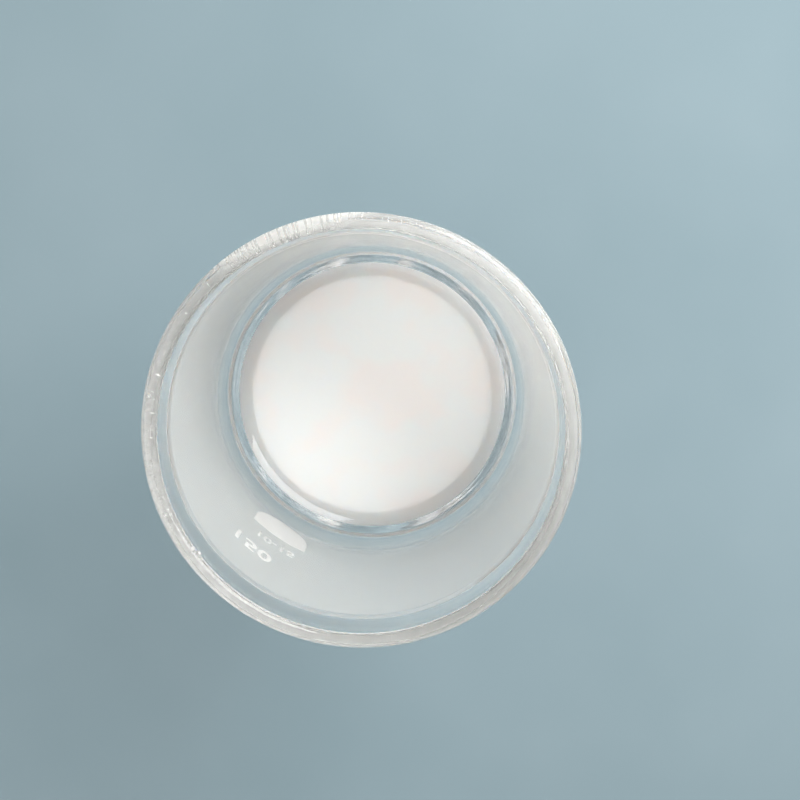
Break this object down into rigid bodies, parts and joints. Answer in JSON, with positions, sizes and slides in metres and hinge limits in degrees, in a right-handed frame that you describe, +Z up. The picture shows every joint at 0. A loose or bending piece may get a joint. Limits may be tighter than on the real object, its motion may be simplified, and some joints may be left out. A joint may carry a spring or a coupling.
{
  "type": "fritted glass filter funnel",
  "caption": "Straight-walled glass filter funnel with a sintered glass disc fused in its foot, a flared fire-polished rim and a bevelled stem.",
  "frame": {"origin": "on the funnel's axis, level with the lowest point of the stem's tip", "axes": "+Z up the axis, mouth upward; +X towards the long side of the bevelled tip"},
  "size_m": [0.072, 0.072, 0.174],
  "materials": {
    "borosilicate_glass": "clear, fire-polished",
    "sintered_glass": "matte white, fine sintered grains"
  },
  "bodies": {
    "root": {"funnel_glass": "borosilicate_glass", "sintered_disc": "sintered_glass"}
  },
  "joints": []
}
